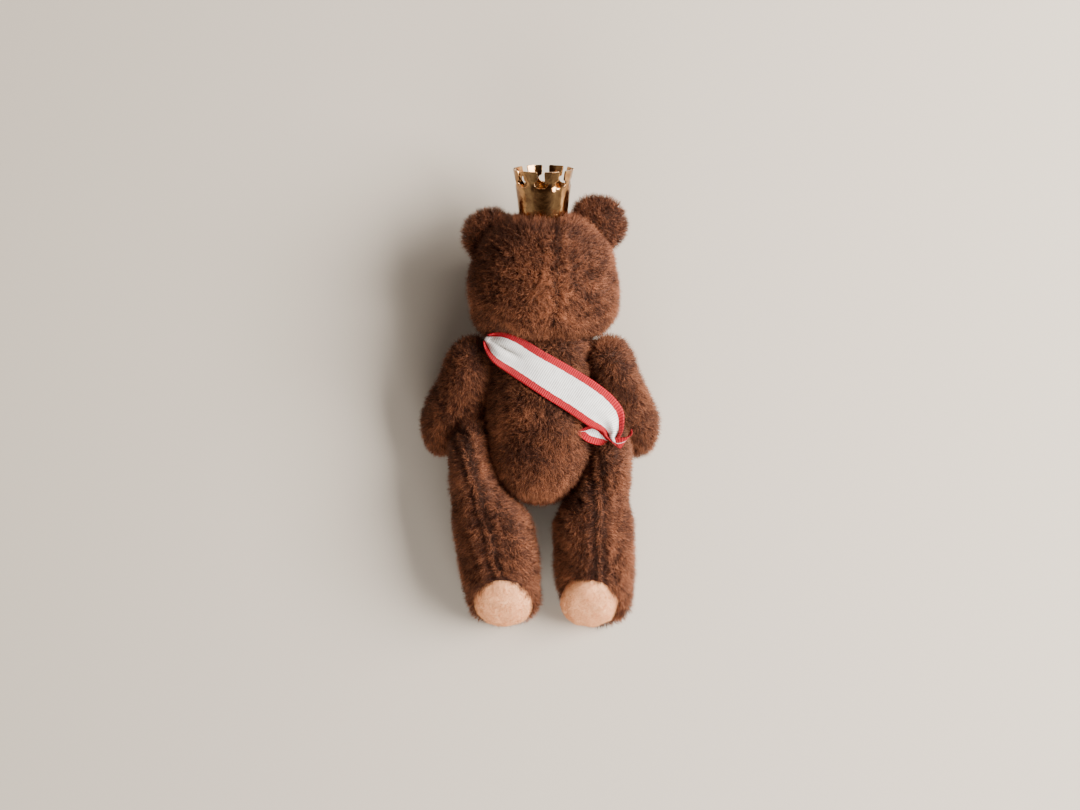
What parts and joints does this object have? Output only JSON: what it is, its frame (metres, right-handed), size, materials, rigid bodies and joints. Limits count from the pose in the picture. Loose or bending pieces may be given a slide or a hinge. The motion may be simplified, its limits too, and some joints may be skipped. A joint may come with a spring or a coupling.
{
  "type": "jointed plush bear charm",
  "caption": "Small jointed plush bear lying face down, with felt soles, a woven ribbon sash and a stamped metal crown; head, arms and legs turn on disc joints.",
  "frame": {"origin": "on the floor plane under the middle of the bounding box", "axes": "+X to the bear's right side, +Y from its feet to its crown, +Z out of its back, up from the floor it lies on face down"},
  "size_m": [0.0562, 0.1147, 0.0357],
  "materials": {
    "plush": "short dark brown mohair pile on a woven backing",
    "stuffing": "loose fibre filling",
    "felt": "peach wool felt",
    "card": "pressed board",
    "steel": "bright wire and sheet",
    "gold": "polished, gold coloured",
    "ribbon": "ribbed woven ribbon, white with red borders",
    "bead": "black, glossy",
    "thread": "stitched cotton thread"
  },
  "bodies": {
    "arm_left": {"arm_skin_left": "plush", "arm_stuffing_left": "stuffing", "paw_pad_left": "felt", "shoulder_left_disc_limb": "card", "shoulder_left_pin": "steel", "shoulder_left_washer_limb": "steel"},
    "arm_right": {"arm_skin_right": "plush", "arm_stuffing_right": "stuffing", "paw_pad_right": "felt", "shoulder_right_disc_limb": "card", "shoulder_right_pin": "steel", "shoulder_right_washer_limb": "steel"},
    "head": {"crown": "gold", "ear_left": "plush", "ear_right": "plush", "eye_left": "bead", "eye_right": "bead", "head_skin": "plush", "head_stuffing": "stuffing", "mouth": "thread", "neck_disc_limb": "card", "neck_pin": "steel", "neck_washer_limb": "steel", "nose": "thread"},
    "leg_left": {"hip_left_disc_limb": "card", "hip_left_pin": "steel", "hip_left_washer_limb": "steel", "insole_left": "card", "leg_skin_left": "plush", "leg_stuffing_left": "stuffing", "sole_pad_left": "felt"},
    "torso": {"hip_left_disc_torso": "card", "hip_left_washer_torso": "steel", "hip_right_disc_torso": "card", "hip_right_washer_torso": "steel", "neck_disc_torso": "card", "neck_washer_torso": "steel", "sash": "ribbon", "shoulder_left_disc_torso": "card", "shoulder_left_washer_torso": "steel", "shoulder_right_disc_torso": "card", "shoulder_right_washer_torso": "steel", "torso_skin": "plush", "torso_stuffing": "stuffing"},
    "leg_right": {"hip_right_disc_limb": "card", "hip_right_pin": "steel", "hip_right_washer_limb": "steel", "insole_right": "card", "leg_skin_right": "plush", "leg_stuffing_right": "stuffing", "sole_pad_right": "felt"}
  },
  "joints": [
    {"name": "neck", "type": "hinge", "parent": "torso", "child": "head", "pos_m": [0.0018, 0.0157, 0.0175], "axis": [-0.0698, 0.9976, 0], "continuous": true},
    {"name": "shoulder_left", "type": "hinge", "parent": "torso", "child": "arm_left", "pos_m": [-0.0125, 0.0074, 0.017], "axis": [1, 0, 0], "continuous": true},
    {"name": "shoulder_right", "type": "hinge", "parent": "torso", "child": "arm_right", "pos_m": [0.0125, 0.0074, 0.017], "axis": [1, 0, 0], "continuous": true},
    {"name": "hip_left", "type": "hinge", "parent": "torso", "child": "leg_left", "pos_m": [-0.0127, -0.0125, 0.0134], "axis": [1, 0, 0], "range_deg": [-90, 95]},
    {"name": "hip_right", "type": "hinge", "parent": "torso", "child": "leg_right", "pos_m": [0.0127, -0.0125, 0.0134], "axis": [1, 0, 0], "range_deg": [-45, 95]}
  ]
}
